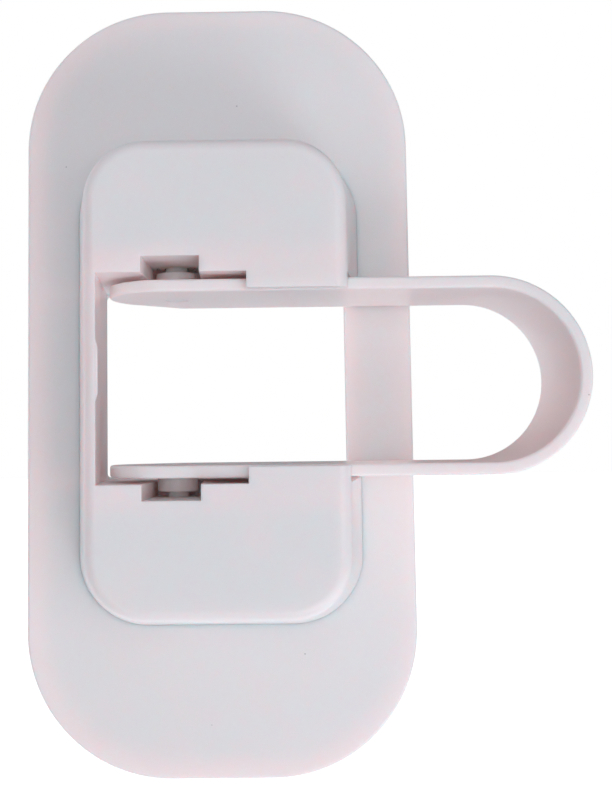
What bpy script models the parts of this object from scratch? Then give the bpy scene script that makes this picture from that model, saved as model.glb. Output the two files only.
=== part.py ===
"""Stair gate latch: a wall plate with a through-window, a C-shaped housing and a swinging U-shaped bail.

Frame: +X to the side the bail points to, +Z up along the plate, the wall is the plane Y = 0 and everything
stands in front of it, at negative Y. The origin is on the wall plane, at the plate's centre. The upper and
the lower half are mirror images about Z = 0. Driving dimensions are in millimetres.
"""

from math import acos, atan2, cos, hypot, pi, radians, sin, tan

import bmesh
import bpy
from mathutils import Matrix

MM = 0.001
GAP = 0.3                                  # between pieces that rest on each other
PAST = 2.0                                 # how far a cutter runs past the wall it cuts

# stack of layers, measured out from the wall
TAPE_THICKNESS = 1.0
PLATE_THICKNESS = 2.4
PLATE_BACK = TAPE_THICKNESS + GAP
PLATE_FRONT = PLATE_BACK + PLATE_THICKNESS
HOUSING_BACK = PLATE_FRONT + GAP
HOUSING_HEIGHT = 31.1
HOUSING_FACE = HOUSING_BACK + HOUSING_HEIGHT

# base plate
PLATE_HALF_WIDTH = 43.8
PLATE_HALF_HEIGHT = 87.6
PLATE_CORNER = 32.5
PLATE_EDGE = 0.7                           # edge rounding
WINDOW_LEFT = -25.8
WINDOW_RIGHT = 28.8
WINDOW_HALF_HEIGHT = 20.7
WINDOW_CORNER = 0.8

# housing: base outline, front face outline before its edge is rounded
BASE_HALF_WIDTH = 31.9
BASE_HALF_HEIGHT = 53.7
BASE_CORNER = 15.5
FACE_HALF_WIDTH = 26.2
FACE_HALF_HEIGHT = 47.8
FACE_CORNER = 12.0
FACE_EDGE = 2.8                            # rounding between face and sides
WALL = 2.2                                 # moulded wall thickness
CAVITY_START = 27.0                        # the hollow of each block begins this far from the middle
CAVITY_CORNER = 1.5
MOUTH_INSET = 0.4                          # the straight mouth stays inside the sloped hollow

# slots, pockets and catch lips of the housing
SLOT_HALF_HEIGHT = 21.1
SLOT_LEFT_FRONT = -23.85                   # the left wall leans: wider at the plate than at the face
SLOT_LEFT_BACK = -25.6
POCKET_LEFT = -14.85
POCKET_RIGHT = -3.15
POCKET_HALF_HEIGHT = 24.3
POCKET_BELOW_PIN = 0.8
LIP_LEFT = 6.25
LIP_HALF_HEIGHT = 17.75
LIP_THICKNESS = 2.3
LIP_CORNER = 0.8

# bail
BAIL_HALF_HEIGHT = 20.0
BAIL_THICKNESS = 2.5
BAIL_DEPTH = 28.0
BAIL_RIGHT = 75.4
BAIL_BACK = PLATE_FRONT + 0.5
BAIL_FRONT = BAIL_BACK + BAIL_DEPTH
NOSE_X = -11.1                             # the rounded front of each arm's end
NOSE_RADIUS = 11.6
HEEL_X = -8.3                              # the back corner is cut off from here up to the rounded front
PIN_X = -8.6
PIN_OUT = BAIL_BACK + BAIL_DEPTH / 2       # the swing axis, measured out from the wall

# pivot pins and their bushes
BOSS_RADIUS = 4.3
BOSS_END = 23.2
JOURNAL_RADIUS = 2.3
SPIGOT_RADIUS = 2.5
JOURNAL_END = 30.0
BUSH_RADIUS = 4.0
BUSH_END = 30.3
BUSH_SEAT_RADIUS = 6.2
BUSH_SEAT_END = 30.8
PIN_CHAMFER = 0.3

# screws that hold the housing to the plate, driven from behind
SCREW_PLACES = [(-17.0, 39.0), (17.0, 39.0), (8.0, 31.5)]
SCREW_HEAD_RADIUS = 2.8
SCREW_RADIUS = 1.5
SCREW_HEAD_DEPTH = 1.5
SCREW_LENGTH = 14.0
SCREW_BOSS_RADIUS = 3.4
SCREW_TIP_LENGTH = 2.0
SCREW_TIP_RADIUS = 0.3
PILOT_PAST_TIP = 1.0

# foam tapes
TAPE_INSET = 3.0
TAPE_INNER_EDGE = 22.0
TAPE_CORNER = 3.0
SIDE_TAPE_CORNER = 1.0
SIDE_TAPE_INSET = 1.8                      # from the window's edge
SIDE_TAPE_HALF_HEIGHT = 20.5

WHITE_PLASTIC = ((0.83, 0.82, 0.82), 0.35, 0.0)
PIN_PLASTIC = ((0.80, 0.79, 0.79), 0.40, 0.0)
BUSH_NYLON = ((0.78, 0.76, 0.70), 0.50, 0.0)
ZINC_STEEL = ((0.62, 0.63, 0.65), 0.32, 1.0)
TAPE_FOAM = ((0.88, 0.88, 0.86), 0.90, 0.0)


def clear_scene():
    for obj in list(bpy.data.objects):
        bpy.data.objects.remove(obj)


def material(name, finish):
    colour, roughness, metallic = finish
    mat = bpy.data.materials.new(name)
    mat.use_nodes = True
    shader = mat.node_tree.nodes["Principled BSDF"]
    shader.inputs["Base Color"].default_value = (*colour, 1.0)
    shader.inputs["Roughness"].default_value = roughness
    shader.inputs["Metallic"].default_value = metallic
    return mat


def rounded_outline(left, right, bottom, top, radii, steps=7):
    """Points (x, z) of a rectangle with rounded corners, anticlockwise.

    radii: lower left, lower right, upper right, upper left.
    """
    corners = [(left, bottom, 1, 1, pi), (right, bottom, -1, 1, 1.5 * pi),
               (right, top, -1, -1, 0.0), (left, top, 1, -1, 0.5 * pi)]
    points = []
    for (x, z, to_x, to_z, start), radius in zip(corners, radii):
        for step in range(steps + 1):
            angle = start + 0.5 * pi * step / steps
            points.append((x + radius * (to_x + cos(angle)), z + radius * (to_z + sin(angle))))
    return points


def centred_outline(half_width, half_height, radius, steps=7):
    return rounded_outline(-half_width, half_width, -half_height, half_height, [radius] * 4, steps)


def mesh_object(name, mesh_data, smooth_angle=35.0):
    bmesh.ops.recalc_face_normals(mesh_data, faces=mesh_data.faces)
    mesh = bpy.data.meshes.new(name)
    mesh_data.to_mesh(mesh)
    mesh_data.free()
    mesh.shade_smooth()
    mesh.set_sharp_from_angle(angle=radians(smooth_angle))
    obj = bpy.data.objects.new(name, mesh)
    bpy.context.collection.objects.link(obj)
    return obj


def loft(name, sections):
    """A closed solid through outlines: sections is a list of (outline in x and z, distance from the wall)."""
    mesh_data = bmesh.new()
    rings = []
    for outline, out in sections:
        rings.append([mesh_data.verts.new((x * MM, -out * MM, z * MM)) for x, z in outline])
    count = len(rings[0])
    for ring, following in zip(rings, rings[1:]):
        for k in range(count):
            after = (k + 1) % count
            mesh_data.faces.new((ring[k], ring[after], following[after], following[k]))
    mesh_data.faces.new(rings[0])
    mesh_data.faces.new(rings[-1])
    return mesh_object(name, mesh_data)


def box(name, x_span, out_span, z_span):
    outline = [(x_span[0], z_span[0]), (x_span[1], z_span[0]), (x_span[1], z_span[1]), (x_span[0], z_span[1])]
    return loft(name, [(outline, out_span[0]), (outline, out_span[1])])


def turned(name, profile, steps, to_world):
    """A solid of revolution about the local Z axis; profile is a list of (radius, height) in millimetres."""
    mesh_data = bmesh.new()
    rings = []
    for radius, height in profile:
        ring = []
        for step in range(steps):
            angle = 2 * pi * step / steps
            x, y = radius * cos(angle), radius * sin(angle)
            ring.append(mesh_data.verts.new((x * MM, y * MM, height * MM)))
        rings.append(ring)
    for ring, following in zip(rings, rings[1:]):
        for k in range(steps):
            after = (k + 1) % steps
            mesh_data.faces.new((ring[k], ring[after], following[after], following[k]))
    mesh_data.faces.new(rings[0])
    mesh_data.faces.new(rings[-1])
    mesh_data.transform(to_world)
    return mesh_object(name, mesh_data)


def combine(obj, tool, operation="DIFFERENCE"):
    """Boolean of obj with tool; the tool stays in the scene as a hidden guide."""
    tool.hide_render = True
    tool.display_type = "WIRE"
    boolean = obj.modifiers.new(tool.name, "BOOLEAN")
    boolean.operation = operation
    boolean.solver = "EXACT"
    boolean.object = tool
    return obj


def upright(x, out, direction=1):
    """Local Z to world Z (or to -Z), at a place given in millimetres."""
    turn = Matrix.Identity(4) if direction > 0 else Matrix.Rotation(pi, 4, "X")
    return Matrix.Translation((x * MM, -out * MM, 0)) @ turn


def outward(x, z):
    """Local Z to world -Y, so that heights are distances from the wall."""
    return Matrix.Translation((x * MM, 0, z * MM)) @ Matrix.Rotation(pi / 2, 4, "X")


def screw_places():
    return [(x, side * z) for side in (1, -1) for x, z in SCREW_PLACES]


def face_edge_sections(half_width, half_height, corner, edge, out_face, steps=4):
    """Outlines of the rounded edge between the housing's sloped sides and its flat face."""
    slope = atan2(BASE_HALF_WIDTH - FACE_HALF_WIDTH, HOUSING_HEIGHT)
    reach = edge * tan((pi / 2 - slope) / 2)
    sections = []
    for step in range(steps + 1):
        angle = slope + (pi / 2 - slope) * step / steps
        inset = reach - edge * cos(angle)
        outline = centred_outline(half_width - inset, half_height - inset, corner - inset)
        sections.append((outline, out_face - edge + edge * sin(angle)))
    return sections


def housing_shell(name):
    """The outer shape of the housing, as one solid block."""
    base = [(centred_outline(BASE_HALF_WIDTH, BASE_HALF_HEIGHT, BASE_CORNER), HOUSING_BACK)]
    edge = face_edge_sections(FACE_HALF_WIDTH, FACE_HALF_HEIGHT, FACE_CORNER, FACE_EDGE, HOUSING_FACE)
    return loft(name, base + edge)


def block_cavity(name, side):
    """The hollow of the upper (side 1) or lower (side -1) block, open towards the plate."""
    def outline(half_width, height, corner):
        if side > 0:
            radii = [CAVITY_CORNER, CAVITY_CORNER, corner, corner]
            return rounded_outline(-half_width, half_width, CAVITY_START, height, radii)
        radii = [corner, corner, CAVITY_CORNER, CAVITY_CORNER]
        return rounded_outline(-half_width, half_width, -height, -CAVITY_START, radii)

    wide = outline(BASE_HALF_WIDTH - WALL, BASE_HALF_HEIGHT - WALL, BASE_CORNER - WALL)
    narrow = outline(FACE_HALF_WIDTH - WALL, FACE_HALF_HEIGHT - WALL, FACE_CORNER - WALL)
    return loft(name, [(wide, HOUSING_BACK), (narrow, HOUSING_FACE - WALL)])


def open_back(cavity, name, side):
    """Carries the cavity on past the housing's back."""
    half_width = BASE_HALF_WIDTH - WALL - MOUTH_INSET
    half_height = BASE_HALF_HEIGHT - WALL - MOUTH_INSET
    low, high = sorted((side * (CAVITY_START + MOUTH_INSET), side * half_height))
    inner = CAVITY_CORNER - MOUTH_INSET
    outer = BASE_CORNER - WALL
    radii = [inner, inner, outer, outer] if side > 0 else [outer, outer, inner, inner]
    mouth_outline = rounded_outline(-half_width, half_width, low, high, radii)
    mouth = loft(name, [(mouth_outline, HOUSING_BACK - PAST), (mouth_outline, HOUSING_BACK + PAST)])
    return combine(cavity, mouth, "UNION")


def slot_cutter():
    """The opening between the blocks, from the left wall to past the right side."""
    right = BASE_HALF_WIDTH + PAST
    lean = (SLOT_LEFT_FRONT - SLOT_LEFT_BACK) / HOUSING_HEIGHT

    def outline(left):
        return [(left, -SLOT_HALF_HEIGHT), (right, -SLOT_HALF_HEIGHT), (right, SLOT_HALF_HEIGHT),
                (left, SLOT_HALF_HEIGHT)]

    return loft("slot_cutter", [(outline(SLOT_LEFT_BACK - lean * PAST), HOUSING_BACK - PAST),
                                (outline(SLOT_LEFT_FRONT + lean * PAST), HOUSING_FACE + PAST)])


def pocket_cutter():
    """The notches for both pin bosses, as one bar through both slots."""
    floor = PIN_OUT - BOSS_RADIUS - POCKET_BELOW_PIN
    return box("pocket_cutter", (POCKET_LEFT, POCKET_RIGHT), (floor, HOUSING_FACE + PAST),
               (-POCKET_HALF_HEIGHT, POCKET_HALF_HEIGHT))


def make_housing(plastic):
    housing = housing_shell("housing")
    combine(housing, slot_cutter())
    for side, label in ((1, "upper"), (-1, "lower")):
        cavity = block_cavity(f"{label}_cavity", side)
        combine(housing, open_back(cavity, f"{label}_mouth", side))
        seat_profile = [(BUSH_SEAT_RADIUS, CAVITY_START - 0.5 * WALL), (BUSH_SEAT_RADIUS, BUSH_SEAT_END)]
        seat = turned(f"{label}_bush_seat", seat_profile, 24, upright(PIN_X, PIN_OUT, side))
        combine(housing, seat, "UNION")
        bore_radius = BUSH_RADIUS + GAP
        bore_profile = [(bore_radius, POCKET_HALF_HEIGHT - PAST), (bore_radius, BUSH_SEAT_END + PAST)]
        bore = turned(f"{label}_bush_bore", bore_profile, 24, upright(PIN_X, PIN_OUT, side))
        combine(housing, bore)
    combine(housing, pocket_cutter())
    for number, (x, z) in enumerate(screw_places(), 1):
        boss_profile = [(SCREW_BOSS_RADIUS, HOUSING_BACK), (SCREW_BOSS_RADIUS, HOUSING_FACE - 0.5 * WALL)]
        combine(housing, turned(f"screw_boss_{number}", boss_profile, 16, outward(x, z)), "UNION")
        pilot_end = PLATE_BACK + SCREW_LENGTH + PILOT_PAST_TIP
        pilot_profile = [(SCREW_RADIUS + GAP, HOUSING_BACK - PAST), (SCREW_RADIUS + GAP, pilot_end)]
        combine(housing, turned(f"screw_pilot_{number}", pilot_profile, 12, outward(x, z)))
    housing.data.materials.append(plastic)


def make_catch_lips():
    for side, label in ((1, "upper"), (-1, "lower")):
        name = f"{label}_catch_lip"
        lip = housing_shell(name)
        near, far = sorted((side * LIP_HALF_HEIGHT, side * (SLOT_HALF_HEIGHT - GAP)))
        radii = [LIP_CORNER, 0.0, 0.0, 0.0] if side > 0 else [0.0, 0.0, 0.0, LIP_CORNER]
        corners = rounded_outline(LIP_LEFT, BASE_HALF_WIDTH, near, far, radii, 4)
        outline = [point for k, point in enumerate(corners) if k % 5 == 0 or radii[k // 5] > 0]
        span = (HOUSING_FACE - LIP_THICKNESS, HOUSING_FACE + PAST)
        combine(lip, loft(f"{label}_lip_limits", [(outline, out) for out in span]), "INTERSECT")
        lip.data.materials.append(material(name, WHITE_PLASTIC))


def make_plate(plastic):
    insets = [(PLATE_EDGE * (1 - sin(angle)), PLATE_EDGE * (1 - cos(angle)))
              for angle in (0, pi / 6, pi / 3, pi / 2)]
    sections = []
    for inset, rise in insets:
        half_width, half_height = PLATE_HALF_WIDTH - inset, PLATE_HALF_HEIGHT - inset
        outline = centred_outline(half_width, half_height, PLATE_CORNER - inset, 12)
        sections.append((outline, PLATE_BACK + rise))
    sections += [(outline, PLATE_FRONT + PLATE_BACK - out) for outline, out in reversed(sections)]
    plate = loft("base_plate", sections)
    window = rounded_outline(WINDOW_LEFT, WINDOW_RIGHT, -WINDOW_HALF_HEIGHT, WINDOW_HALF_HEIGHT,
                             [WINDOW_CORNER] * 4, 4)
    combine(plate, loft("window_cutter", [(window, PLATE_BACK - PAST), (window, PLATE_FRONT + PAST)]))
    for number, (x, z) in enumerate(screw_places(), 1):
        sink = [(SCREW_HEAD_RADIUS + GAP + PAST, PLATE_BACK - PAST),
                (SCREW_RADIUS + GAP, PLATE_BACK + SCREW_HEAD_DEPTH),
                (SCREW_RADIUS + GAP, PLATE_FRONT + PAST)]
        combine(plate, turned(f"plate_hole_{number}", sink, 16, outward(x, z)))
    plate.data.materials.append(plastic)


def bail_outline():
    """The U in x and z: outer line round the bow, then the inner line back."""
    centre = BAIL_RIGHT - BAIL_HALF_HEIGHT
    start = NOSE_X - BAIL_DEPTH
    points = []
    for radius, order in ((BAIL_HALF_HEIGHT, 1), (BAIL_HALF_HEIGHT - BAIL_THICKNESS, -1)):
        bow = [(centre + radius * cos(angle), radius * sin(angle))
               for angle in (pi * (step / 30 - 0.5) for step in range(31))]
        points += ([(start, -radius)] + bow + [(start, radius)])[::order]
    return points


def arm_side_profile():
    """The strap seen along Z: rounded at the arm's end, the back corner there cut off, then straight on."""
    nose_out = BAIL_FRONT - NOSE_RADIUS
    to_heel = (HEEL_X - NOSE_X, BAIL_BACK - nose_out)
    tangent = atan2(to_heel[1], to_heel[0]) - acos(NOSE_RADIUS / hypot(*to_heel))
    start = 0.5 * pi
    sweep = tangent + 2 * pi - start
    steps = 20
    points = []
    for step in range(steps + 1):
        angle = start + sweep * step / steps
        points.append((NOSE_X + NOSE_RADIUS * cos(angle), nose_out + NOSE_RADIUS * sin(angle)))
    return points + [(HEEL_X, BAIL_BACK), (BAIL_RIGHT + PAST, BAIL_BACK), (BAIL_RIGHT + PAST, BAIL_FRONT)]


def prism_along_z(name, outline, half_height):
    """A solid with the given outline in x and distance from the wall."""
    mesh_data = bmesh.new()
    rings = [[mesh_data.verts.new((x * MM, -out * MM, z * MM)) for x, out in outline]
             for z in (-half_height, half_height)]
    for k in range(len(outline)):
        after = (k + 1) % len(outline)
        mesh_data.faces.new((rings[0][k], rings[0][after], rings[1][after], rings[1][k]))
    mesh_data.faces.new(rings[0])
    mesh_data.faces.new(rings[1])
    return mesh_object(name, mesh_data)


def make_bail(plastic):
    outline = bail_outline()
    strap = loft("bail_strap", [(outline, BAIL_BACK - PAST), (outline, BAIL_FRONT + PAST)])
    combine(strap, prism_along_z("strap_limits", arm_side_profile(), BAIL_HALF_HEIGHT + PAST), "INTERSECT")
    hole_radius = SPIGOT_RADIUS + GAP
    reach = BAIL_HALF_HEIGHT + PAST
    hole_profile = [(hole_radius, -reach), (hole_radius, reach)]
    combine(strap, turned("pin_hole_cutter", hole_profile, 24, upright(PIN_X, PIN_OUT)))
    strap.data.materials.append(plastic)


def make_pivots():
    inner_face = BAIL_HALF_HEIGHT - BAIL_THICKNESS
    boss_start = BAIL_HALF_HEIGHT + GAP
    pin_profile = [(SPIGOT_RADIUS, inner_face), (SPIGOT_RADIUS, boss_start), (BOSS_RADIUS, boss_start),
                   (BOSS_RADIUS, BOSS_END - PIN_CHAMFER), (BOSS_RADIUS - PIN_CHAMFER, BOSS_END),
                   (JOURNAL_RADIUS, BOSS_END), (JOURNAL_RADIUS, JOURNAL_END - PIN_CHAMFER),
                   (JOURNAL_RADIUS - PIN_CHAMFER, JOURNAL_END)]
    bore = JOURNAL_RADIUS + GAP
    for side, label in ((1, "upper"), (-1, "lower")):
        place = upright(PIN_X, PIN_OUT, side)
        pin = turned(f"{label}_pivot_pin", pin_profile, 32, place)
        pin.data.materials.append(material(pin.name, PIN_PLASTIC))
        sleeve = [(BUSH_RADIUS, POCKET_HALF_HEIGHT), (BUSH_RADIUS, BUSH_END)]
        bush = turned(f"{label}_pivot_bush", sleeve, 24, place)
        through = [(bore, POCKET_HALF_HEIGHT - PAST), (bore, BUSH_END + PAST)]
        combine(bush, turned(f"{label}_bush_hole", through, 24, place))
        bush.data.materials.append(material(bush.name, BUSH_NYLON))


def make_screws():
    start = PLATE_BACK + 0.05
    end = PLATE_BACK + SCREW_LENGTH
    profile = [(SCREW_HEAD_RADIUS - 0.1, start), (SCREW_RADIUS, start + SCREW_HEAD_DEPTH),
               (SCREW_RADIUS, end - SCREW_TIP_LENGTH), (SCREW_TIP_RADIUS, end)]
    for number, (x, z) in enumerate(screw_places(), 1):
        screw = turned(f"housing_screw_{number}", profile, 16, outward(x, z))
        screw.data.materials.append(material(screw.name, ZINC_STEEL))


def make_tapes():
    edge_x = PLATE_HALF_WIDTH - TAPE_INSET
    edge_z = PLATE_HALF_HEIGHT - TAPE_INSET
    inner_z = TAPE_INNER_EDGE
    inner_pair = [TAPE_CORNER] * 2
    outer_pair = [PLATE_CORNER - TAPE_INSET] * 2
    side = SIDE_TAPE_HALF_HEIGHT
    radii = [SIDE_TAPE_CORNER] * 4
    outlines = {
        "foam_tape_upper": rounded_outline(-edge_x, edge_x, inner_z, edge_z, inner_pair + outer_pair),
        "foam_tape_lower": rounded_outline(-edge_x, edge_x, -edge_z, -inner_z, outer_pair + inner_pair),
        "foam_tape_left": rounded_outline(-edge_x, WINDOW_LEFT - SIDE_TAPE_INSET, -side, side, radii),
        "foam_tape_right": rounded_outline(WINDOW_RIGHT + SIDE_TAPE_INSET, edge_x, -side, side, radii),
    }
    for name, outline in outlines.items():
        tape = loft(name, [(outline, 0.0), (outline, TAPE_THICKNESS)])
        tape.data.materials.append(material(name, TAPE_FOAM))


def main():
    clear_scene()
    make_plate(material("base_plate", WHITE_PLASTIC))
    make_housing(material("housing", WHITE_PLASTIC))
    make_catch_lips()
    make_bail(material("bail_strap", WHITE_PLASTIC))
    make_pivots()
    make_screws()
    make_tapes()


main()
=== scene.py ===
from math import acos, atan2, cos, hypot, pi, radians, sin, tan

import bmesh
import bpy
from mathutils import Matrix, Vector


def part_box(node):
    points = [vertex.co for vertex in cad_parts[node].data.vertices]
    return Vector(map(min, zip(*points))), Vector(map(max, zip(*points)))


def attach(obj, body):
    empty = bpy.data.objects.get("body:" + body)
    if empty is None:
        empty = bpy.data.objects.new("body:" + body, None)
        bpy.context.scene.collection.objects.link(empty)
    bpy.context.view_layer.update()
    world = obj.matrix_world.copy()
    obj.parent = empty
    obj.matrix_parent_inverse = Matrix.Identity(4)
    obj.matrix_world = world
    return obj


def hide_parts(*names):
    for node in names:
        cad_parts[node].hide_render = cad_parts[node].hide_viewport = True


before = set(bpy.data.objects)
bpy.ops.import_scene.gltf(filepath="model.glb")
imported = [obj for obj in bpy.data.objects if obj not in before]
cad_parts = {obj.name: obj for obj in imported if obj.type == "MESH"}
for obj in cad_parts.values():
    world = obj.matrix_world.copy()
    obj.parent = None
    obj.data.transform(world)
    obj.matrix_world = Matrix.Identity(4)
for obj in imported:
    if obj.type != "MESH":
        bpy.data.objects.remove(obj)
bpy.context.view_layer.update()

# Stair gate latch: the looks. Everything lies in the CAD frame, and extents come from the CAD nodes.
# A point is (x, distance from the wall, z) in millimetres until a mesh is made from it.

MM = 0.001
PAST = 2.0                                 # how far a cutter runs past what it cuts
SHARP_ANGLE = 35                           # edges above this many degrees are shaded sharp


def extent(node):
    """Lowest and highest (x, distance from the wall, z) of a CAD node, in millimetres."""
    low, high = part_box(node)
    return (low.x / MM, -high.y / MM, low.z / MM), (high.x / MM, -low.y / MM, high.z / MM)


(PLATE_LEFT, PLATE_BACK, PLATE_BOTTOM), (PLATE_RIGHT, PLATE_FRONT, PLATE_TOP) = extent("base_plate")
(_, HOUSING_BACK, _), (BASE_HALF_WIDTH, HOUSING_FACE, BASE_HALF_HEIGHT) = extent("housing")
(LIP_LEFT, LIP_BACK, LIP_HALF_HEIGHT), _ = extent("upper_catch_lip")
(_, BAIL_BACK, _), (BAIL_RIGHT, BAIL_FRONT, BAIL_HALF_HEIGHT) = extent("bail_strap")
(BOSS_LEFT, _, ARM_INNER_FACE), (BOSS_RIGHT, BOSS_FRONT, JOURNAL_END) = extent("upper_pivot_pin")
(BUSH_LEFT, _, BUSH_START), (BUSH_RIGHT, _, BUSH_END) = extent("upper_pivot_bush")

# plate
PLATE_CORNER = 32.5
PLATE_EDGE = 0.7
WINDOW_LEFT = -25.8
WINDOW_RIGHT = 28.8
WINDOW_HALF_HEIGHT = 20.7
WINDOW_CORNER = 0.8
WINDOW_EDGE = 0.3

# housing
HOUSING_HEIGHT = HOUSING_FACE - HOUSING_BACK
BASE_CORNER = 15.5
FACE_HALF_WIDTH = 26.2                     # the face before its edge is rounded
FACE_HALF_HEIGHT = 47.8
FACE_CORNER = 12.0
FACE_EDGE = 2.8
WALL = 2.2
CAVITY_START = 27.0
CAVITY_CORNER = 1.5
MOUTH_INSET = 0.4
SLOT_HALF_HEIGHT = 21.1
SLOT_LEFT_FRONT = -23.85
SLOT_LEFT_BACK = -25.6
SLOT_FRONT_OVERLAP = 1.0                   # the front cutters start this far behind the lips
WALL_PAD_SPAN = (-4.6, 7.8)                # the slightly thicker middle of the wall at the slots' closed end
WALL_PAD_DEPTH = 16.0                      # how far behind the face it starts to thicken
WALL_PAD_RISE = 0.45
WALL_PAD_SLOPE = 1.6
WALL_PAD_BURIED = 0.7
POCKET_LEFT = -14.85
POCKET_RIGHT = -3.15
POCKET_HALF_HEIGHT = 24.3
POCKET_BELOW_PIN = 0.8
POCKET_DRAFT = 1.4                         # lean of the pockets' left wall, which shows more of it
SLOT_EDGE = 0.35                           # rounding of the edges round slots, pockets and lips

# bail
NOSE_X = -11.1
NOSE_RADIUS = 11.6
HEEL_X = -8.3
BAIL_EDGE = 0.55

# pivots
PIN_X = (BOSS_LEFT + BOSS_RIGHT) / 2
BOSS_RADIUS = (BOSS_RIGHT - BOSS_LEFT) / 2
PIN_OUT = BOSS_FRONT - BOSS_RADIUS
BOSS_END = 23.2
JOURNAL_RADIUS = 2.3
PIN_CHAMFER = 0.4
PIN_SEAM = 0.12                            # faint ring where the pin comes through the arm
PIN_RECESS = 0.08
BUSH_RADIUS = (BUSH_RIGHT - BUSH_LEFT) / 2
BUSH_CLEARANCE = 0.3
BUSH_CHAMFER = 0.25
BUSH_SEAT_RADIUS = 6.2
BUSH_SEAT_END = 30.8

# screws
SCREW_COUNT = 6
SCREW_HEAD_DEPTH = 1.5
SCREW_CORE = 1.1
SCREW_PITCH = 1.3
SCREW_TIP = 2.0
SCREW_CLEARANCE = 0.3
SCREW_BOSS_RADIUS = 3.4
SCREW_RIM = (0.1, 0.12)                    # chamfer of the head's rim, inwards and along the screw
SCREW_THREAD = 0.4                         # height of the thread
THREAD_STEEPNESS = 4
ROWS_PER_TURN = 8
TIP_STEPS = (0.3, 0.6, 0.85)               # rings between the last full row and the point
TIP_RADIUS = 0.08
RECESS_ARM = 1.5                           # the cross recess: half its length, half its width, its depth
RECESS_HALF_WIDTH = 0.28
RECESS_DEPTH = 1.0
PILOT_PAST_TIP = 1.0

# foam
TAPE_CORNER = 3.0
SIDE_TAPE_CORNER = 1.0
TAPE_EDGE = 0.18


# ---------------------------------------------------------------- meshes

def rounded_outline(left, right, bottom, top, radii, steps=12):
    """Points (x, z) of a rectangle with rounded corners: lower left, lower right, upper right, upper left."""
    corners = [(left, bottom, 1, 1, pi), (right, bottom, -1, 1, 1.5 * pi),
               (right, top, -1, -1, 0.0), (left, top, 1, -1, 0.5 * pi)]
    points = []
    for (x, z, to_x, to_z, start), radius in zip(corners, radii):
        for step in range(steps + 1):
            angle = start + 0.5 * pi * step / steps
            points.append((x + radius * (to_x + cos(angle)), z + radius * (to_z + sin(angle))))
    return points


def centred_outline(half_width, half_height, radius, steps=16):
    return rounded_outline(-half_width, half_width, -half_height, half_height, [radius] * 4, steps)


def mesh_object(name, mesh_data):
    bmesh.ops.recalc_face_normals(mesh_data, faces=mesh_data.faces)
    mesh = bpy.data.meshes.new(name)
    mesh_data.to_mesh(mesh)
    mesh_data.free()
    obj = bpy.data.objects.new(name, mesh)
    bpy.context.scene.collection.objects.link(obj)
    return obj


def join_rings(mesh_data, rings):
    """A closed skin over rings of vertices that have the same count."""
    count = len(rings[0])
    for ring, following in zip(rings, rings[1:]):
        for k in range(count):
            after = (k + 1) % count
            mesh_data.faces.new((ring[k], ring[after], following[after], following[k]))
    mesh_data.faces.new(rings[0])
    mesh_data.faces.new(rings[-1])


def loft(name, sections):
    """A closed solid through outlines: sections is a list of (outline in x and z, distance from the wall)."""
    mesh_data = bmesh.new()
    rings = [[mesh_data.verts.new((x * MM, -out * MM, z * MM)) for x, z in outline]
             for outline, out in sections]
    join_rings(mesh_data, rings)
    return mesh_object(name, mesh_data)


def box(name, x_span, out_span, z_span):
    outline = [(x_span[0], z_span[0]), (x_span[1], z_span[0]), (x_span[1], z_span[1]), (x_span[0], z_span[1])]
    return loft(name, [(outline, out) for out in out_span])


def prism_along_z(name, outline, half_height):
    """A solid with the given outline in x and distance from the wall."""
    mesh_data = bmesh.new()
    rings = [[mesh_data.verts.new((x * MM, -out * MM, z * MM)) for x, out in outline]
             for z in (-half_height, half_height)]
    join_rings(mesh_data, rings)
    return mesh_object(name, mesh_data)


def turned(name, profile, steps, to_world, ripple=None):
    """A solid of revolution about local Z; ripple(angle, height) may add millimetres to a ring's radius."""
    mesh_data = bmesh.new()
    rings = []
    for radius, height in profile:
        ring = []
        for step in range(steps):
            angle = 2 * pi * step / steps
            reach = radius + (ripple(angle, height) if ripple else 0.0)
            place = (reach * cos(angle) * MM, reach * sin(angle) * MM, height * MM)
            ring.append(mesh_data.verts.new(place))
        rings.append(ring)
    join_rings(mesh_data, rings)
    mesh_data.transform(to_world)
    return mesh_object(name, mesh_data)


def along_z(x, out, direction=1):
    """Local Z to world Z, or to -Z, at a place given in millimetres."""
    turn = Matrix.Identity(4) if direction > 0 else Matrix.Rotation(pi, 4, "X")
    return Matrix.Translation((x * MM, -out * MM, 0)) @ turn


def outward(x, z):
    """Local Z away from the wall, so that heights are distances from it."""
    return Matrix.Translation((x * MM, 0, z * MM)) @ Matrix.Rotation(pi / 2, 4, "X")


def bake_modifiers(obj):
    graph = bpy.context.evaluated_depsgraph_get()
    graph.update()
    before = obj.data
    mesh = bpy.data.meshes.new_from_object(obj.evaluated_get(graph))
    obj.modifiers.clear()
    obj.data = mesh
    bpy.data.meshes.remove(before)
    return obj


def combine(obj, tools, operation="DIFFERENCE"):
    """Booleans of obj with the tools, which are removed afterwards."""
    for tool in tools:
        boolean = obj.modifiers.new(tool.name, "BOOLEAN")
        boolean.operation = operation
        boolean.solver = "EXACT"
        boolean.object = tool
    bake_modifiers(obj)
    for tool in tools:
        mesh = tool.data
        bpy.data.objects.remove(tool)
        bpy.data.meshes.remove(mesh)
    return obj


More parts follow.
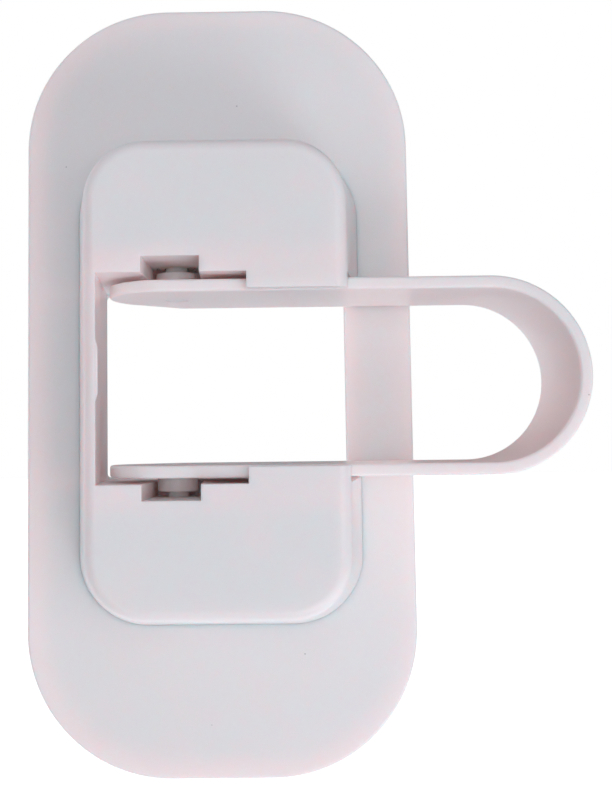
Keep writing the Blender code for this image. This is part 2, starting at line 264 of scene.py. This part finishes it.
def soften(obj, width, segments=3, angle=40.0):
    """Rounds the edges that are sharper than the angle, with the width in millimetres."""
    mesh_data = bmesh.new()
    mesh_data.from_mesh(obj.data)
    bmesh.ops.remove_doubles(mesh_data, verts=mesh_data.verts, dist=0.002 * MM)
    bmesh.ops.dissolve_limit(mesh_data, angle_limit=radians(0.5), verts=mesh_data.verts,
                             edges=mesh_data.edges)
    mesh_data.to_mesh(obj.data)
    mesh_data.free()
    bevel = obj.modifiers.new("edge", "BEVEL")
    bevel.limit_method = "ANGLE"
    bevel.angle_limit = radians(angle)
    bevel.width = width * MM
    bevel.segments = segments
    bevel.use_clamp_overlap = True
    return bake_modifiers(obj)


def dress(obj, body, slot, finish, *nodes):
    obj.data.shade_smooth()
    obj.data.set_sharp_from_angle(angle=radians(SHARP_ANGLE))
    weighted = obj.modifiers.new("normals", "WEIGHTED_NORMAL")
    weighted.keep_sharp = True
    bake_modifiers(obj)
    obj.data.materials.clear()
    obj.data.materials.append(finish)
    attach(obj, body)
    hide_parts(*nodes)
    return obj


# ---------------------------------------------------------------- pieces

def edge_sections(half_width, half_height, corner, edge, out_face, steps=8):
    """Outlines of the rounded edge between the housing's sloped sides and its flat face."""
    slope = atan2(BASE_HALF_WIDTH - FACE_HALF_WIDTH, HOUSING_HEIGHT)
    reach = edge * tan((pi / 2 - slope) / 2)
    sections = []
    for step in range(steps + 1):
        angle = slope + (pi / 2 - slope) * step / steps
        inset = reach - edge * cos(angle)
        outline = centred_outline(half_width - inset, half_height - inset, corner - inset)
        sections.append((outline, out_face - edge + edge * sin(angle)))
    return sections


def rectangle(left, right, half_height):
    return [(left, -half_height), (right, -half_height), (right, half_height), (left, half_height)]


def slot_left_at(out):
    """x of the leaning wall at the slots' closed end."""
    return SLOT_LEFT_BACK + (SLOT_LEFT_FRONT - SLOT_LEFT_BACK) * (out - HOUSING_BACK) / HOUSING_HEIGHT


def slot_tools():
    """The opening between the blocks: full height behind the lips, lower between them."""
    right = BASE_HALF_WIDTH + PAST
    behind = loft("slot_behind", [(rectangle(slot_left_at(out), right, SLOT_HALF_HEIGHT), out)
                                  for out in (HOUSING_BACK - PAST, LIP_BACK)])
    front_outs = (LIP_BACK - SLOT_FRONT_OVERLAP, HOUSING_FACE + PAST)
    beside = loft("slot_beside", [(rectangle(slot_left_at(out), LIP_LEFT, SLOT_HALF_HEIGHT), out)
                                  for out in front_outs])
    between = loft("slot_between", [(rectangle(LIP_LEFT - PAST, right, LIP_HALF_HEIGHT), out)
                                    for out in front_outs])
    floor = PIN_OUT - BOSS_RADIUS - POCKET_BELOW_PIN
    left_walls = ((POCKET_LEFT + POCKET_DRAFT, floor), (POCKET_LEFT, HOUSING_FACE),
                  (POCKET_LEFT, HOUSING_FACE + PAST))
    pockets = loft("pockets", [(rectangle(left, POCKET_RIGHT, POCKET_HALF_HEIGHT), out)
                               for left, out in left_walls])
    return [behind, beside, between, pockets]


def wall_pad_sections():
    """The thicker middle of the wall at the slots' closed end, which shows at its front edge."""
    bottom, top = WALL_PAD_SPAN
    sections = []
    levels = ((HOUSING_FACE - WALL_PAD_DEPTH, 0.0), (HOUSING_FACE - WALL_PAD_RISE, WALL_PAD_RISE))
    for out, rise in levels:
        wall = slot_left_at(out)
        buried, front = wall - WALL_PAD_BURIED, wall + rise
        outline = [(buried, bottom), (wall, bottom), (front, bottom + WALL_PAD_SLOPE),
                   (front, top - WALL_PAD_SLOPE), (wall, top), (buried, top)]
        sections.append((outline, out))
    return sections


def block_hollow(side):
    """The hollow of the upper (side 1) or lower (side -1) block, open towards the plate."""
    def outline(half_width, height, corner, start, inner):
        if side > 0:
            return rounded_outline(-half_width, half_width, start, height, [inner, inner, corner, corner], 7)
        return rounded_outline(-half_width, half_width, -height, -start, [corner, corner, inner, inner], 7)

    wide = outline(BASE_HALF_WIDTH - WALL, BASE_HALF_HEIGHT - WALL, BASE_CORNER - WALL,
                   CAVITY_START, CAVITY_CORNER)
    narrow = outline(FACE_HALF_WIDTH - WALL, FACE_HALF_HEIGHT - WALL, FACE_CORNER - WALL,
                     CAVITY_START, CAVITY_CORNER)
    mouth = outline(BASE_HALF_WIDTH - WALL - MOUTH_INSET, BASE_HALF_HEIGHT - WALL - MOUTH_INSET,
                    BASE_CORNER - WALL, CAVITY_START + MOUTH_INSET, CAVITY_CORNER - MOUTH_INSET)
    hollow = loft("hollow", [(wide, HOUSING_BACK), (narrow, HOUSING_FACE - WALL)])
    return [hollow, loft("mouth", [(mouth, HOUSING_BACK - PAST), (mouth, HOUSING_BACK + PAST)])]


def screw_axes():
    """(x, z) of each screw, from its CAD node."""
    axes = []
    for number in range(1, SCREW_COUNT + 1):
        low, high = extent(f"housing_screw_{number}")
        axes.append(((low[0] + high[0]) / 2, (low[2] + high[2]) / 2))
    return axes


def make_housing(finish):
    """Housing and catch lips, which are one moulding on the real thing."""
    edge = edge_sections(FACE_HALF_WIDTH, FACE_HALF_HEIGHT, FACE_CORNER, FACE_EDGE, HOUSING_FACE)
    foot = (centred_outline(BASE_HALF_WIDTH, BASE_HALF_HEIGHT, BASE_CORNER), PLATE_FRONT)
    housing = loft("housing_moulding", [foot] + edge)
    combine(housing, slot_tools())
    combine(housing, [loft("wall_pad", wall_pad_sections())], "UNION")
    soften(housing, SLOT_EDGE)
    _, (_, screw_end, _) = extent("housing_screw_1")
    for side in (1, -1):
        combine(housing, block_hollow(side))
        seat = [(BUSH_SEAT_RADIUS, CAVITY_START - 0.5 * WALL), (BUSH_SEAT_RADIUS, BUSH_SEAT_END)]
        combine(housing, [turned("seat", seat, 48, along_z(PIN_X, PIN_OUT, side))], "UNION")
        bore_radius = BUSH_RADIUS + BUSH_CLEARANCE
        bore = [(bore_radius, BUSH_START - PAST), (bore_radius, BUSH_SEAT_END + PAST)]
        combine(housing, [turned("bore", bore, 48, along_z(PIN_X, PIN_OUT, side))])
    for x, z in screw_axes():
        boss = [(SCREW_BOSS_RADIUS, HOUSING_BACK), (SCREW_BOSS_RADIUS, HOUSING_FACE - 0.5 * WALL)]
        combine(housing, [turned("boss", boss, 32, outward(x, z))], "UNION")
        pilot_radius = SCREW_CORE + 2 * SCREW_CLEARANCE
        pilot = [(pilot_radius, HOUSING_BACK - PAST), (pilot_radius, screw_end + PILOT_PAST_TIP)]
        combine(housing, [turned("pilot", pilot, 24, outward(x, z))])
    return dress(housing, "wall_unit", "white_shell", finish, "housing", "upper_catch_lip", "lower_catch_lip")


def make_plate(finish):
    half_width = (PLATE_RIGHT - PLATE_LEFT) / 2
    half_height = (PLATE_TOP - PLATE_BOTTOM) / 2
    steps = 6
    sections = []
    for step in range(steps + 1):
        angle = 0.5 * pi * step / steps
        inset, rise = PLATE_EDGE * (1 - sin(angle)), PLATE_EDGE * (1 - cos(angle))
        outline = centred_outline(half_width - inset, half_height - inset, PLATE_CORNER - inset, 28)
        sections.append((outline, PLATE_BACK + rise))
    sections += [(outline, PLATE_FRONT + PLATE_BACK - out) for outline, out in reversed(sections)]
    plate = loft("plate_moulding", sections)
    window = rounded_outline(WINDOW_LEFT, WINDOW_RIGHT, -WINDOW_HALF_HEIGHT, WINDOW_HALF_HEIGHT,
                             [WINDOW_CORNER] * 4, 6)
    combine(plate, [loft("window", [(window, PLATE_BACK - PAST), (window, PLATE_FRONT + PAST)])])
    soften(plate, WINDOW_EDGE)
    (screw_left, _, _), (screw_right, _, _) = extent("housing_screw_1")
    head_radius = (screw_right - screw_left) / 2 + SCREW_CLEARANCE
    neck = SCREW_CORE + 2 * SCREW_CLEARANCE
    holes = []
    for x, z in screw_axes():
        sink = [(head_radius + PAST, PLATE_BACK - PAST), (neck, PLATE_BACK + SCREW_HEAD_DEPTH),
                (neck, PLATE_FRONT + PAST)]
        holes.append(turned("plate_hole", sink, 32, outward(x, z)))
    combine(plate, holes)
    return dress(plate, "wall_unit", "white_shell", finish, "base_plate")


def bail_outline(steps=64):
    """The U in x and z: outer line round the bow, then the inner line back."""
    centre = BAIL_RIGHT - BAIL_HALF_HEIGHT
    start = NOSE_X - NOSE_RADIUS - PAST
    points = []
    for radius, order in ((BAIL_HALF_HEIGHT, 1), (ARM_INNER_FACE, -1)):
        bow = [(centre + radius * cos(angle), radius * sin(angle))
               for angle in (pi * (step / steps - 0.5) for step in range(steps + 1))]
        points += ([(start, -radius)] + bow + [(start, radius)])[::order]
    return points


def arm_side_outline(steps=40):
    """The strap seen along Z: rounded at the arm's end, the back corner there cut off, then straight on."""
    nose_out = BAIL_FRONT - NOSE_RADIUS
    to_heel = (HEEL_X - NOSE_X, BAIL_BACK - nose_out)
    tangent = atan2(to_heel[1], to_heel[0]) - acos(NOSE_RADIUS / hypot(*to_heel))
    start = 0.5 * pi
    sweep = tangent + 2 * pi - start
    points = []
    for step in range(steps + 1):
        angle = start + sweep * step / steps
        points.append((NOSE_X + NOSE_RADIUS * cos(angle), nose_out + NOSE_RADIUS * sin(angle)))
    return points + [(HEEL_X, BAIL_BACK), (BAIL_RIGHT + PAST, BAIL_BACK), (BAIL_RIGHT + PAST, BAIL_FRONT)]


def make_bail(finish):
    outline = bail_outline()
    bail = loft("bail_moulding", [(outline, BAIL_BACK - PAST), (outline, BAIL_FRONT + PAST)])
    limits = prism_along_z("limits", arm_side_outline(), BAIL_HALF_HEIGHT + PAST)
    combine(bail, [limits], "INTERSECT")
    soften(bail, BAIL_EDGE, 4)
    reach = BAIL_HALF_HEIGHT + PAST
    hole = [(JOURNAL_RADIUS + PIN_SEAM, -reach), (JOURNAL_RADIUS + PIN_SEAM, reach)]
    combine(bail, [turned("pin_hole", hole, 48, along_z(PIN_X, PIN_OUT))])
    return dress(bail, "bail", "white_bail", finish, "bail_strap")


def make_pivots(pin_finish, bush_finish):
    root = ARM_INNER_FACE + PIN_RECESS
    pin_profile = [(JOURNAL_RADIUS - PIN_RECESS, root), (JOURNAL_RADIUS, root + PIN_RECESS),
                   (JOURNAL_RADIUS, BAIL_HALF_HEIGHT), (BOSS_RADIUS, BAIL_HALF_HEIGHT),
                   (BOSS_RADIUS, BOSS_END - PIN_CHAMFER),
                   (BOSS_RADIUS - 0.3 * PIN_CHAMFER, BOSS_END - 0.3 * PIN_CHAMFER),
                   (BOSS_RADIUS - PIN_CHAMFER, BOSS_END), (JOURNAL_RADIUS, BOSS_END),
                   (JOURNAL_RADIUS, JOURNAL_END - PIN_CHAMFER), (JOURNAL_RADIUS - PIN_CHAMFER, JOURNAL_END)]
    sleeve = [(BUSH_RADIUS - BUSH_CHAMFER, BUSH_START), (BUSH_RADIUS, BUSH_START + BUSH_CHAMFER),
              (BUSH_RADIUS, BUSH_END - BUSH_CHAMFER), (BUSH_RADIUS - BUSH_CHAMFER, BUSH_END)]
    bore_radius = JOURNAL_RADIUS + BUSH_CLEARANCE
    for side, label in ((1, "upper"), (-1, "lower")):
        place = along_z(PIN_X, PIN_OUT, side)
        pin = turned(f"{label}_pin", pin_profile, 64, place)
        dress(pin, "bail", "white_bail", pin_finish, f"{label}_pivot_pin")
        bush = turned(f"{label}_bush", sleeve, 64, place)
        bore = [(bore_radius, BUSH_START - PAST), (bore_radius, BUSH_END + PAST)]
        combine(bush, [turned("bush_bore", bore, 48, place)])
        dress(bush, "wall_unit", "bush_nylon", bush_finish, f"{label}_pivot_bush")


def make_screws(finish):
    """Countersunk self-tapping screws with a cross recess and a helical thread."""
    for number, (x, z) in enumerate(screw_axes(), 1):
        (left, start, _), (right, end, _) = extent(f"housing_screw_{number}")
        head = (right - left) / 2
        thread_start = start + SCREW_HEAD_DEPTH

        def thread(angle, height):
            if height <= thread_start or height >= end:
                return 0.0
            turn = ((height - thread_start) / SCREW_PITCH - angle / (2 * pi)) % 1.0
            fade = min(1.0, (end - height) / SCREW_TIP)
            return SCREW_THREAD * fade * max(0.0, 1 - abs(turn - 0.5) * THREAD_STEEPNESS)

        rim_inset, rim_depth = SCREW_RIM
        rows = int((end - SCREW_TIP - thread_start) / (SCREW_PITCH / ROWS_PER_TURN))
        profile = [(head - rim_inset, start), (head, start + rim_depth), (SCREW_CORE, thread_start)]
        profile += [(SCREW_CORE, thread_start + (row + 1) * SCREW_PITCH / ROWS_PER_TURN)
                    for row in range(rows)]
        tip_start = profile[-1][1]
        profile += [(SCREW_CORE * (1 - step), tip_start + step * (end - tip_start)) for step in TIP_STEPS]
        profile.append((TIP_RADIUS, end))
        screw = turned(f"screw_{number}", profile, 24, outward(x, z), thread)
        depth = (start - PAST, start + RECESS_DEPTH)
        recess = [box("recess", (x - along, x + along), depth, (z - across, z + across))
                  for along, across in ((RECESS_ARM, RECESS_HALF_WIDTH), (RECESS_HALF_WIDTH, RECESS_ARM))]
        combine(screw, recess)
        dress(screw, "wall_unit", "screw_zinc", finish, f"housing_screw_{number}")


def make_tapes(finish):
    for label in ("upper", "lower", "left", "right"):
        node = f"foam_tape_{label}"
        (left, back, bottom), (right, front, top) = extent(node)
        inner = TAPE_CORNER if label in ("upper", "lower") else SIDE_TAPE_CORNER
        outer = PLATE_CORNER - (PLATE_RIGHT - right) if label in ("upper", "lower") else SIDE_TAPE_CORNER
        radii = {"upper": [inner, inner, outer, outer], "lower": [outer, outer, inner, inner]}
        outline = rounded_outline(left, right, bottom, top, radii.get(label, [inner] * 4), 14)
        tape = loft(f"{node}_pad", [(outline, back), (outline, front)])
        soften(tape, TAPE_EDGE, 2)
        dress(tape, "wall_unit", "tape_foam", finish, node)


# ---------------------------------------------------------------- materials

# noise scales are in cells per metre
TINT_SCALE = 22.0
SMEAR_SCALE = 70.0
GLOSS_SPREAD = (-0.05, 0.06)               # a roughness below about 0.28 shows as sharp patches
DUST_SCALE = 125.0
DUST_CORE = 0.014                          # radius of a speck's dark middle and of its edge, in cells
DUST_EDGE = 0.026
DUST_COVER = 0.65
DUST_COLOUR = (0.35, 0.32, 0.32)
GRAIN_SCALE = 2600.0
GRAIN_DEPTH = 0.00002
SCATTER_RADIUS = (1.0, 0.42, 0.38)         # red light travels furthest in the plastic
SCATTER_SCALE = 0.004
PLASTIC_IOR = 1.5
NYLON_SCALE = 300.0
ZINC_SCALE = 500.0
FOAM_CELL_SCALE = 2200.0
FOAM_CELL_DEPTH = 0.0002


def new_material(name):
    mat = bpy.data.materials.new(name)
    mat.use_nodes = True
    return mat, mat.node_tree.nodes, mat.node_tree.links


def noise(nodes, links, coords, scale, detail=2.0, roughness=0.5):
    tex = nodes.new("ShaderNodeTexNoise")
    tex.inputs["Scale"].default_value = scale
    tex.inputs["Detail"].default_value = detail
    tex.inputs["Roughness"].default_value = roughness
    links.new(coords.outputs["Object"], tex.inputs["Vector"])
    return tex


def spread(nodes, links, source, low, high, to_low, to_high):
    """Map Range of a noise value."""
    ramp = nodes.new("ShaderNodeMapRange")
    for socket, value in (("From Min", low), ("From Max", high), ("To Min", to_low), ("To Max", to_high)):
        ramp.inputs[socket].default_value = value
    links.new(source, ramp.inputs["Value"])
    return ramp.outputs["Result"]


def blend_colours(nodes, links, factor, first, second):
    mix = nodes.new("ShaderNodeMix")
    mix.data_type = "RGBA"
    for socket, colour in ((6, first), (7, second)):
        if isinstance(colour, tuple):
            mix.inputs[socket].default_value = (*colour, 1.0)
        else:
            links.new(colour, mix.inputs[socket])
    links.new(factor, mix.inputs[0])
    return mix.outputs[2]


def white_plastic(name, cool, warm, roughness, grain):
    """Moulded semi-gloss plastic: faint cloudy tint, fine grain, uneven gloss, a few specks of dust."""
    mat, nodes, links = new_material(name)
    shader = nodes["Principled BSDF"]
    coords = nodes.new("ShaderNodeTexCoord")
    cloud = noise(nodes, links, coords, TINT_SCALE, 3.0)
    tint = spread(nodes, links, cloud.outputs["Fac"], 0.35, 0.65, 0.0, 1.0)
    colour = blend_colours(nodes, links, tint, cool, warm)
    dust = nodes.new("ShaderNodeTexVoronoi")
    dust.inputs["Scale"].default_value = DUST_SCALE
    links.new(coords.outputs["Object"], dust.inputs["Vector"])
    speck = spread(nodes, links, dust.outputs["Distance"], DUST_CORE, DUST_EDGE, DUST_COVER, 0.0)
    links.new(blend_colours(nodes, links, speck, colour, DUST_COLOUR), shader.inputs["Base Color"])
    smear = noise(nodes, links, coords, SMEAR_SCALE, 4.0, 0.6)
    smoothest, roughest = (roughness + change for change in GLOSS_SPREAD)
    gloss = spread(nodes, links, smear.outputs["Fac"], 0.3, 0.7, smoothest, roughest)
    links.new(gloss, shader.inputs["Roughness"])
    fine = noise(nodes, links, coords, GRAIN_SCALE, 2.0)
    bump = nodes.new("ShaderNodeBump")
    bump.inputs["Strength"].default_value = grain
    bump.inputs["Distance"].default_value = GRAIN_DEPTH
    links.new(fine.outputs["Fac"], bump.inputs["Height"])
    links.new(bump.outputs["Normal"], shader.inputs["Normal"])
    shader.inputs["Subsurface Weight"].default_value = 1.0
    shader.inputs["Subsurface Radius"].default_value = SCATTER_RADIUS
    shader.inputs["Subsurface Scale"].default_value = SCATTER_SCALE
    shader.inputs["IOR"].default_value = PLASTIC_IOR
    return mat


def nylon():
    mat, nodes, links = new_material("natural_nylon")
    shader = nodes["Principled BSDF"]
    coords = nodes.new("ShaderNodeTexCoord")
    cloud = noise(nodes, links, coords, NYLON_SCALE, 3.0)
    colour = blend_colours(nodes, links, cloud.outputs["Fac"], (0.72, 0.69, 0.61), (0.80, 0.77, 0.70))
    links.new(colour, shader.inputs["Base Color"])
    links.new(spread(nodes, links, cloud.outputs["Fac"], 0.3, 0.7, 0.42, 0.58), shader.inputs["Roughness"])
    shader.inputs["Subsurface Weight"].default_value = 0.3
    shader.inputs["Subsurface Scale"].default_value = 0.001
    return mat


def zinc():
    mat, nodes, links = new_material("zinc_plating")
    shader = nodes["Principled BSDF"]
    coords = nodes.new("ShaderNodeTexCoord")
    cloud = noise(nodes, links, coords, ZINC_SCALE, 4.0)
    colour = blend_colours(nodes, links, cloud.outputs["Fac"], (0.52, 0.53, 0.56), (0.68, 0.68, 0.69))
    links.new(colour, shader.inputs["Base Color"])
    links.new(spread(nodes, links, cloud.outputs["Fac"], 0.3, 0.7, 0.24, 0.42), shader.inputs["Roughness"])
    shader.inputs["Metallic"].default_value = 1.0
    return mat


def foam():
    """Closed-cell foam tape: small round cells as bump, with painted shade darkening each cell's pit."""
    mat, nodes, links = new_material("tape_foam")
    shader = nodes["Principled BSDF"]
    coords = nodes.new("ShaderNodeTexCoord")
    cells = nodes.new("ShaderNodeTexVoronoi")
    cells.inputs["Scale"].default_value = FOAM_CELL_SCALE
    links.new(coords.outputs["Object"], cells.inputs["Vector"])
    # painted shade: darker towards each cell's middle, where the bump dips
    pit_shade = spread(nodes, links, cells.outputs["Distance"], 0.0, 0.7, 0.0, 1.0)
    colour = blend_colours(nodes, links, pit_shade, (0.74, 0.74, 0.72), (0.88, 0.88, 0.86))
    links.new(colour, shader.inputs["Base Color"])
    bump = nodes.new("ShaderNodeBump")
    bump.inputs["Strength"].default_value = 0.5
    bump.inputs["Distance"].default_value = FOAM_CELL_DEPTH
    links.new(cells.outputs["Distance"], bump.inputs["Height"])
    links.new(bump.outputs["Normal"], shader.inputs["Normal"])
    shader.inputs["Roughness"].default_value = 0.9
    return mat


# ---------------------------------------------------------------- camera, lights, floor

# the camera of the photograph: place in millimetres from the plate's centre, angles in degrees
CAMERA_PLACE = (5.2, 237.3, -12.4)
CAMERA_UP = 3.96
CAMERA_LEFT = 0.43
CAMERA_ROLL = -0.68
CAMERA_LENS = 46.2
CAMERA_SENSOR = 36.0
CAMERA_SHIFT = (0.0896, -0.0395)
DAYLIGHT = (0.95, 0.92, 0.985)
# name, place and size in metres, watts; all are aimed at the plate's centre
LIGHTS = (("key", (0.36, -0.66, -0.65), 0.42, 2.1),
          ("side", (0.75, -0.94, -0.06), 0.5, 1.05),
          ("grazing", (0.9, -0.24, -0.74), 0.4, 2.5))
# strengths of the world's soft light
FRONT_LIGHT = 1.41
FRONT_ABOVE_LIGHT = 0.72
FRONT_BELOW_LIGHT = 0.32
BEHIND_LEFT_LIGHT = 1.3
BEHIND_RIGHT_LIGHT = 0.38
BEHIND_BELOW_LIGHT = 1.26
BEHIND_ABOVE_LIGHT = 0.14
EDGE_OF_HALF = 10.0                        # steepness of the change from the front half to the back half
FLOOR_REACH = 3000
FLOOR_BOTTOM, FLOOR_TOP = -134, -130
DIFFUSE_BOUNCES = 12                       # light reaches the slots and pockets only by many bounces


def make_camera():
    pitch, yaw, roll = radians(CAMERA_UP), radians(-CAMERA_LEFT), radians(CAMERA_ROLL)
    ahead = Vector((sin(yaw) * cos(pitch), cos(yaw) * cos(pitch), sin(pitch)))
    level = Vector((cos(yaw), -sin(yaw), 0.0))
    above = level.cross(ahead)
    right = level * cos(roll) + above * sin(roll)
    top = above * cos(roll) - level * sin(roll)
    data = bpy.data.cameras.new("camera")
    data.sensor_fit = "AUTO"
    data.sensor_width = CAMERA_SENSOR
    data.lens = CAMERA_LENS
    data.shift_x, data.shift_y = CAMERA_SHIFT
    data.clip_start = 0.01
    data.clip_end = 20.0
    camera = bpy.data.objects.new("camera", data)
    x, out, z = CAMERA_PLACE
    turn = Matrix((right, top, -ahead)).transposed()
    camera.matrix_world = Matrix.Translation((x * MM, -out * MM, z * MM)) @ turn.to_4x4()
    bpy.context.scene.collection.objects.link(camera)
    bpy.context.scene.camera = camera


def make_lights():
    for name, place, size, power in LIGHTS:
        data = bpy.data.lights.new(name, "AREA")
        data.shape = "DISK"
        data.size = size
        data.energy = power
        data.color = DAYLIGHT
        light = bpy.data.objects.new(name, data)
        light.location = place
        light.rotation_mode = "QUATERNION"
        light.rotation_quaternion = (-Vector(place)).to_track_quat("-Z", "Y")
        light.visible_camera = False
        bpy.context.scene.collection.objects.link(light)


def make_world():
    """White for the camera; everything else gets soft light from the front and less from behind."""
    world = bpy.data.worlds.new("studio")
    world.use_nodes = True
    bpy.context.scene.world = world
    nodes, links = world.node_tree.nodes, world.node_tree.links

    def calculate(operation, *values):
        node = nodes.new("ShaderNodeMath")
        node.operation = operation
        for socket, value in zip(node.inputs, values):
            if isinstance(value, float):
                socket.default_value = value
            else:
                links.new(value, socket)
        return node.outputs[0]

    def facing(value, sign):
        """0 to 1, how far a direction points one way."""
        return calculate("MAXIMUM", calculate("MULTIPLY", value, sign), 0.0)

    coords = nodes.new("ShaderNodeTexCoord")
    direction = nodes.new("ShaderNodeSeparateXYZ")
    links.new(coords.outputs["Generated"], direction.inputs[0])
    x, y, z = direction.outputs
    before = calculate("MINIMUM", facing(y, -EDGE_OF_HALF), 1.0)
    behind = calculate("MINIMUM", facing(y, EDGE_OF_HALF), 1.0)
    lobes = [(FRONT_LIGHT, calculate("POWER", facing(y, -1.0), 4.0)),
             (FRONT_ABOVE_LIGHT, calculate("MULTIPLY", before, calculate("POWER", facing(z, 1.0), 2.0))),
             (FRONT_BELOW_LIGHT, calculate("MULTIPLY", before, calculate("POWER", facing(z, -1.0), 2.0))),
             (BEHIND_LEFT_LIGHT, calculate("MULTIPLY", behind, facing(x, -1.0))),
             (BEHIND_RIGHT_LIGHT, calculate("MULTIPLY", behind, facing(x, 1.0))),
             (BEHIND_BELOW_LIGHT, calculate("MULTIPLY", behind, facing(z, -1.0))),
             (BEHIND_ABOVE_LIGHT, calculate("MULTIPLY", behind, facing(z, 1.0)))]
    strength = 0.0
    for weight, lobe in lobes:
        strength = calculate("ADD", calculate("MULTIPLY", lobe, weight), strength)
    soft = nodes["Background"]
    soft.inputs["Color"].default_value = (*DAYLIGHT, 1.0)
    links.new(strength, soft.inputs["Strength"])
    white = nodes.new("ShaderNodeBackground")
    white.inputs["Color"].default_value = (1.0, 1.0, 1.0, 1.0)
    path = nodes.new("ShaderNodeLightPath")
    mix = nodes.new("ShaderNodeMixShader")
    links.new(path.outputs["Is Camera Ray"], mix.inputs[0])
    links.new(soft.outputs[0], mix.inputs[1])
    links.new(white.outputs[0], mix.inputs[2])
    links.new(mix.outputs[0], nodes["World Output"].inputs["Surface"])


def make_floor():
    """A pale floor some way under the latch, which hangs on its wall."""
    span = (-FLOOR_REACH, FLOOR_REACH)
    floor = box("floor", span, span, (FLOOR_BOTTOM, FLOOR_TOP))
    mat, nodes, links = new_material("pale_floor")
    shader = nodes["Principled BSDF"]
    shader.inputs["Base Color"].default_value = (0.9, 0.9, 0.9, 1.0)
    shader.inputs["Roughness"].default_value = 0.9
    shader.inputs["Emission Color"].default_value = (1.0, 1.0, 1.0, 1.0)
    shader.inputs["Emission Strength"].default_value = 1.0
    floor.data.materials.append(mat)
    mat.cycles.emission_sampling = "NONE"
    floor.visible_diffuse = False
    floor.visible_glossy = False
    floor.visible_transmission = False
    floor.visible_volume_scatter = False
    floor.visible_shadow = False


make_camera()
make_lights()
make_world()
make_floor()
bpy.context.scene.view_settings.view_transform = "Standard"
bpy.context.scene.cycles.diffuse_bounces = DIFFUSE_BOUNCES

shell = white_plastic("white_shell_plastic", (0.93, 0.86, 0.855), (0.935, 0.85, 0.84), 0.33, 0.12)
strap = white_plastic("white_bail_plastic", (0.935, 0.865, 0.855), (0.94, 0.855, 0.845), 0.34, 0.10)
make_plate(shell)
make_housing(shell)
make_bail(strap)
make_pivots(strap, nylon())
make_screws(zinc())
make_tapes(foam())
